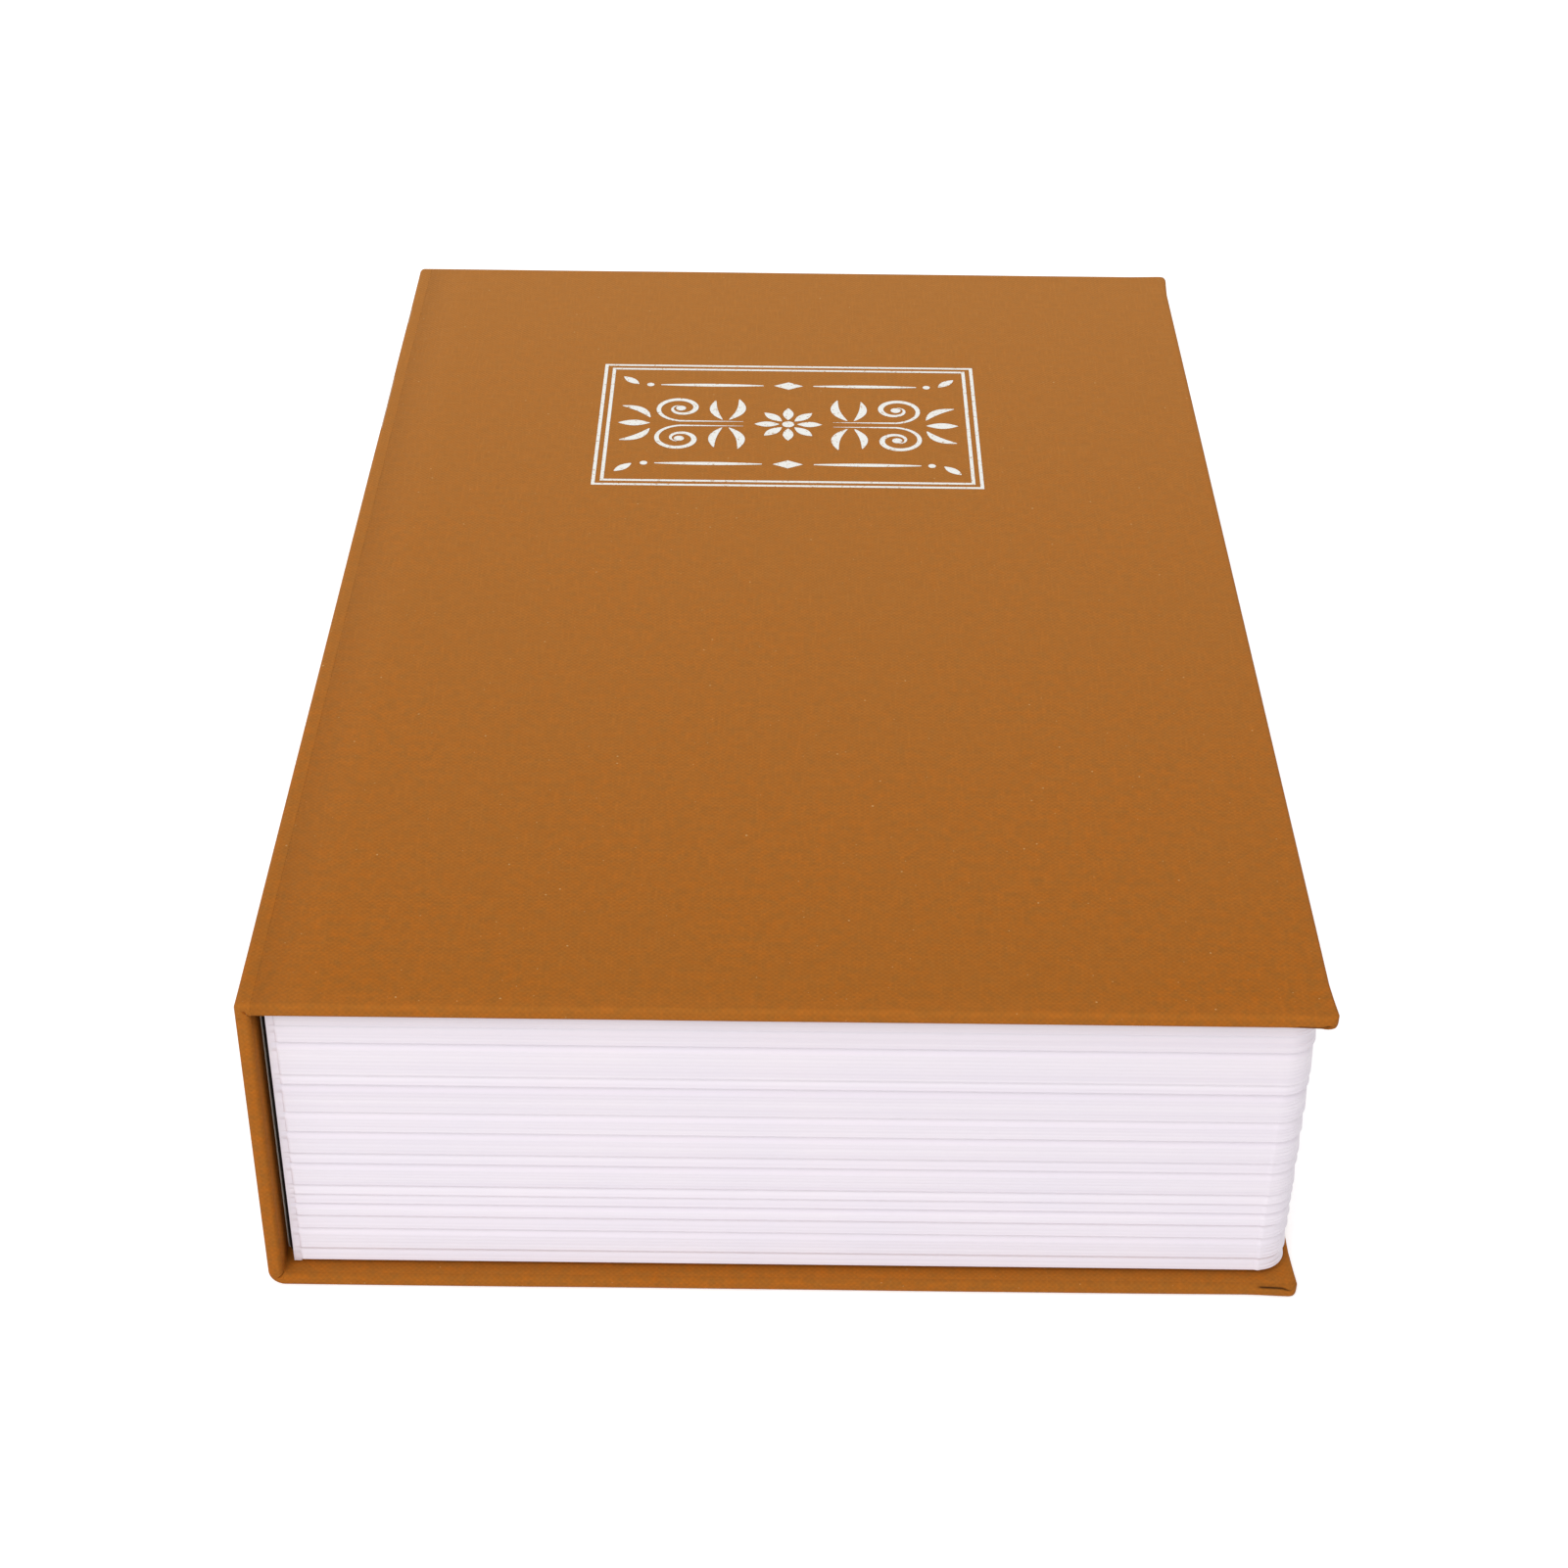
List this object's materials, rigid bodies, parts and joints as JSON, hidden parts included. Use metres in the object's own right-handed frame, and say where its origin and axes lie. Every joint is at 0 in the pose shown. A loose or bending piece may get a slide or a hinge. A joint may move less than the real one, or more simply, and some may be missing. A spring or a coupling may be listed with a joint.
{
  "type": "book diversion safe",
  "caption": "Cloth-bound book case with moulded page edges, hiding a steel cash box with a hinged lid and a cam lock.",
  "frame": {"origin": "middle of the back cover's outer face, where the closed book lies on the table", "axes": "+X from the spine to the fore-edge, +Y from the tail to the head, +Z from the back cover to the front cover"},
  "size_m": [0.155, 0.24, 0.055],
  "materials": {
    "book_cloth": "matt book cloth, fine linen weave",
    "grey_board": "raw grey board",
    "endpaper": "matt cream paper",
    "page_plastic": "satin moulded white",
    "black_steel": "satin black powder coat",
    "hinge_steel": "bright rolled steel",
    "lock_chrome": "polished",
    "zinc_steel": "zinc plated"
  },
  "bodies": {
    "base": {"case_cloth": "book_cloth", "front_joint_cloth": "book_cloth", "back_board": "grey_board", "spine_board": "grey_board", "back_endpaper": "endpaper", "spine_lining": "endpaper", "page_block": "page_plastic", "box_tray": "black_steel", "tray_hinge_leaf": "hinge_steel", "hinge_pin": "hinge_steel", "tray_leaf_rivet_1": "hinge_steel", "tray_leaf_rivet_2": "hinge_steel", "tray_leaf_rivet_3": "hinge_steel", "tray_leaf_rivet_4": "hinge_steel"},
    "cover": {"front_cover_cloth": "book_cloth", "front_board": "grey_board", "front_endpaper": "endpaper"},
    "lid": {"lid_panel": "black_steel", "lid_hinge_leaf": "hinge_steel", "lid_leaf_rivet_1": "hinge_steel", "lid_leaf_rivet_2": "hinge_steel", "lid_leaf_rivet_3": "hinge_steel", "lid_leaf_rivet_4": "hinge_steel", "lock_barrel": "lock_chrome", "lock_washer": "zinc_steel", "lock_nut": "zinc_steel"},
    "lock_core": {"lock_plug": "lock_chrome", "lock_cam": "zinc_steel", "cam_screw": "zinc_steel"}
  },
  "joints": [
    {"name": "cover_open", "type": "hinge", "parent": "base", "child": "cover", "pos_m": [-0.07735, 0, 0.05485], "axis": [0, -1, 0], "range_deg": [0, 200]},
    {"name": "lid_open", "type": "hinge", "parent": "base", "child": "lid", "pos_m": [-0.0645, 0, 0.05], "axis": [0, -1, 0], "range_deg": [0, 108]},
    {"name": "lock_turn", "type": "hinge", "parent": "lid", "child": "lock_core", "pos_m": [0.0476, 0, 0.0483], "axis": [0, 0, -1], "range_deg": [0, 90]}
  ],
  "couplings": [
    {"joint": "lid_open", "follows": "cover_open", "ratio": 0.54}
  ]
}
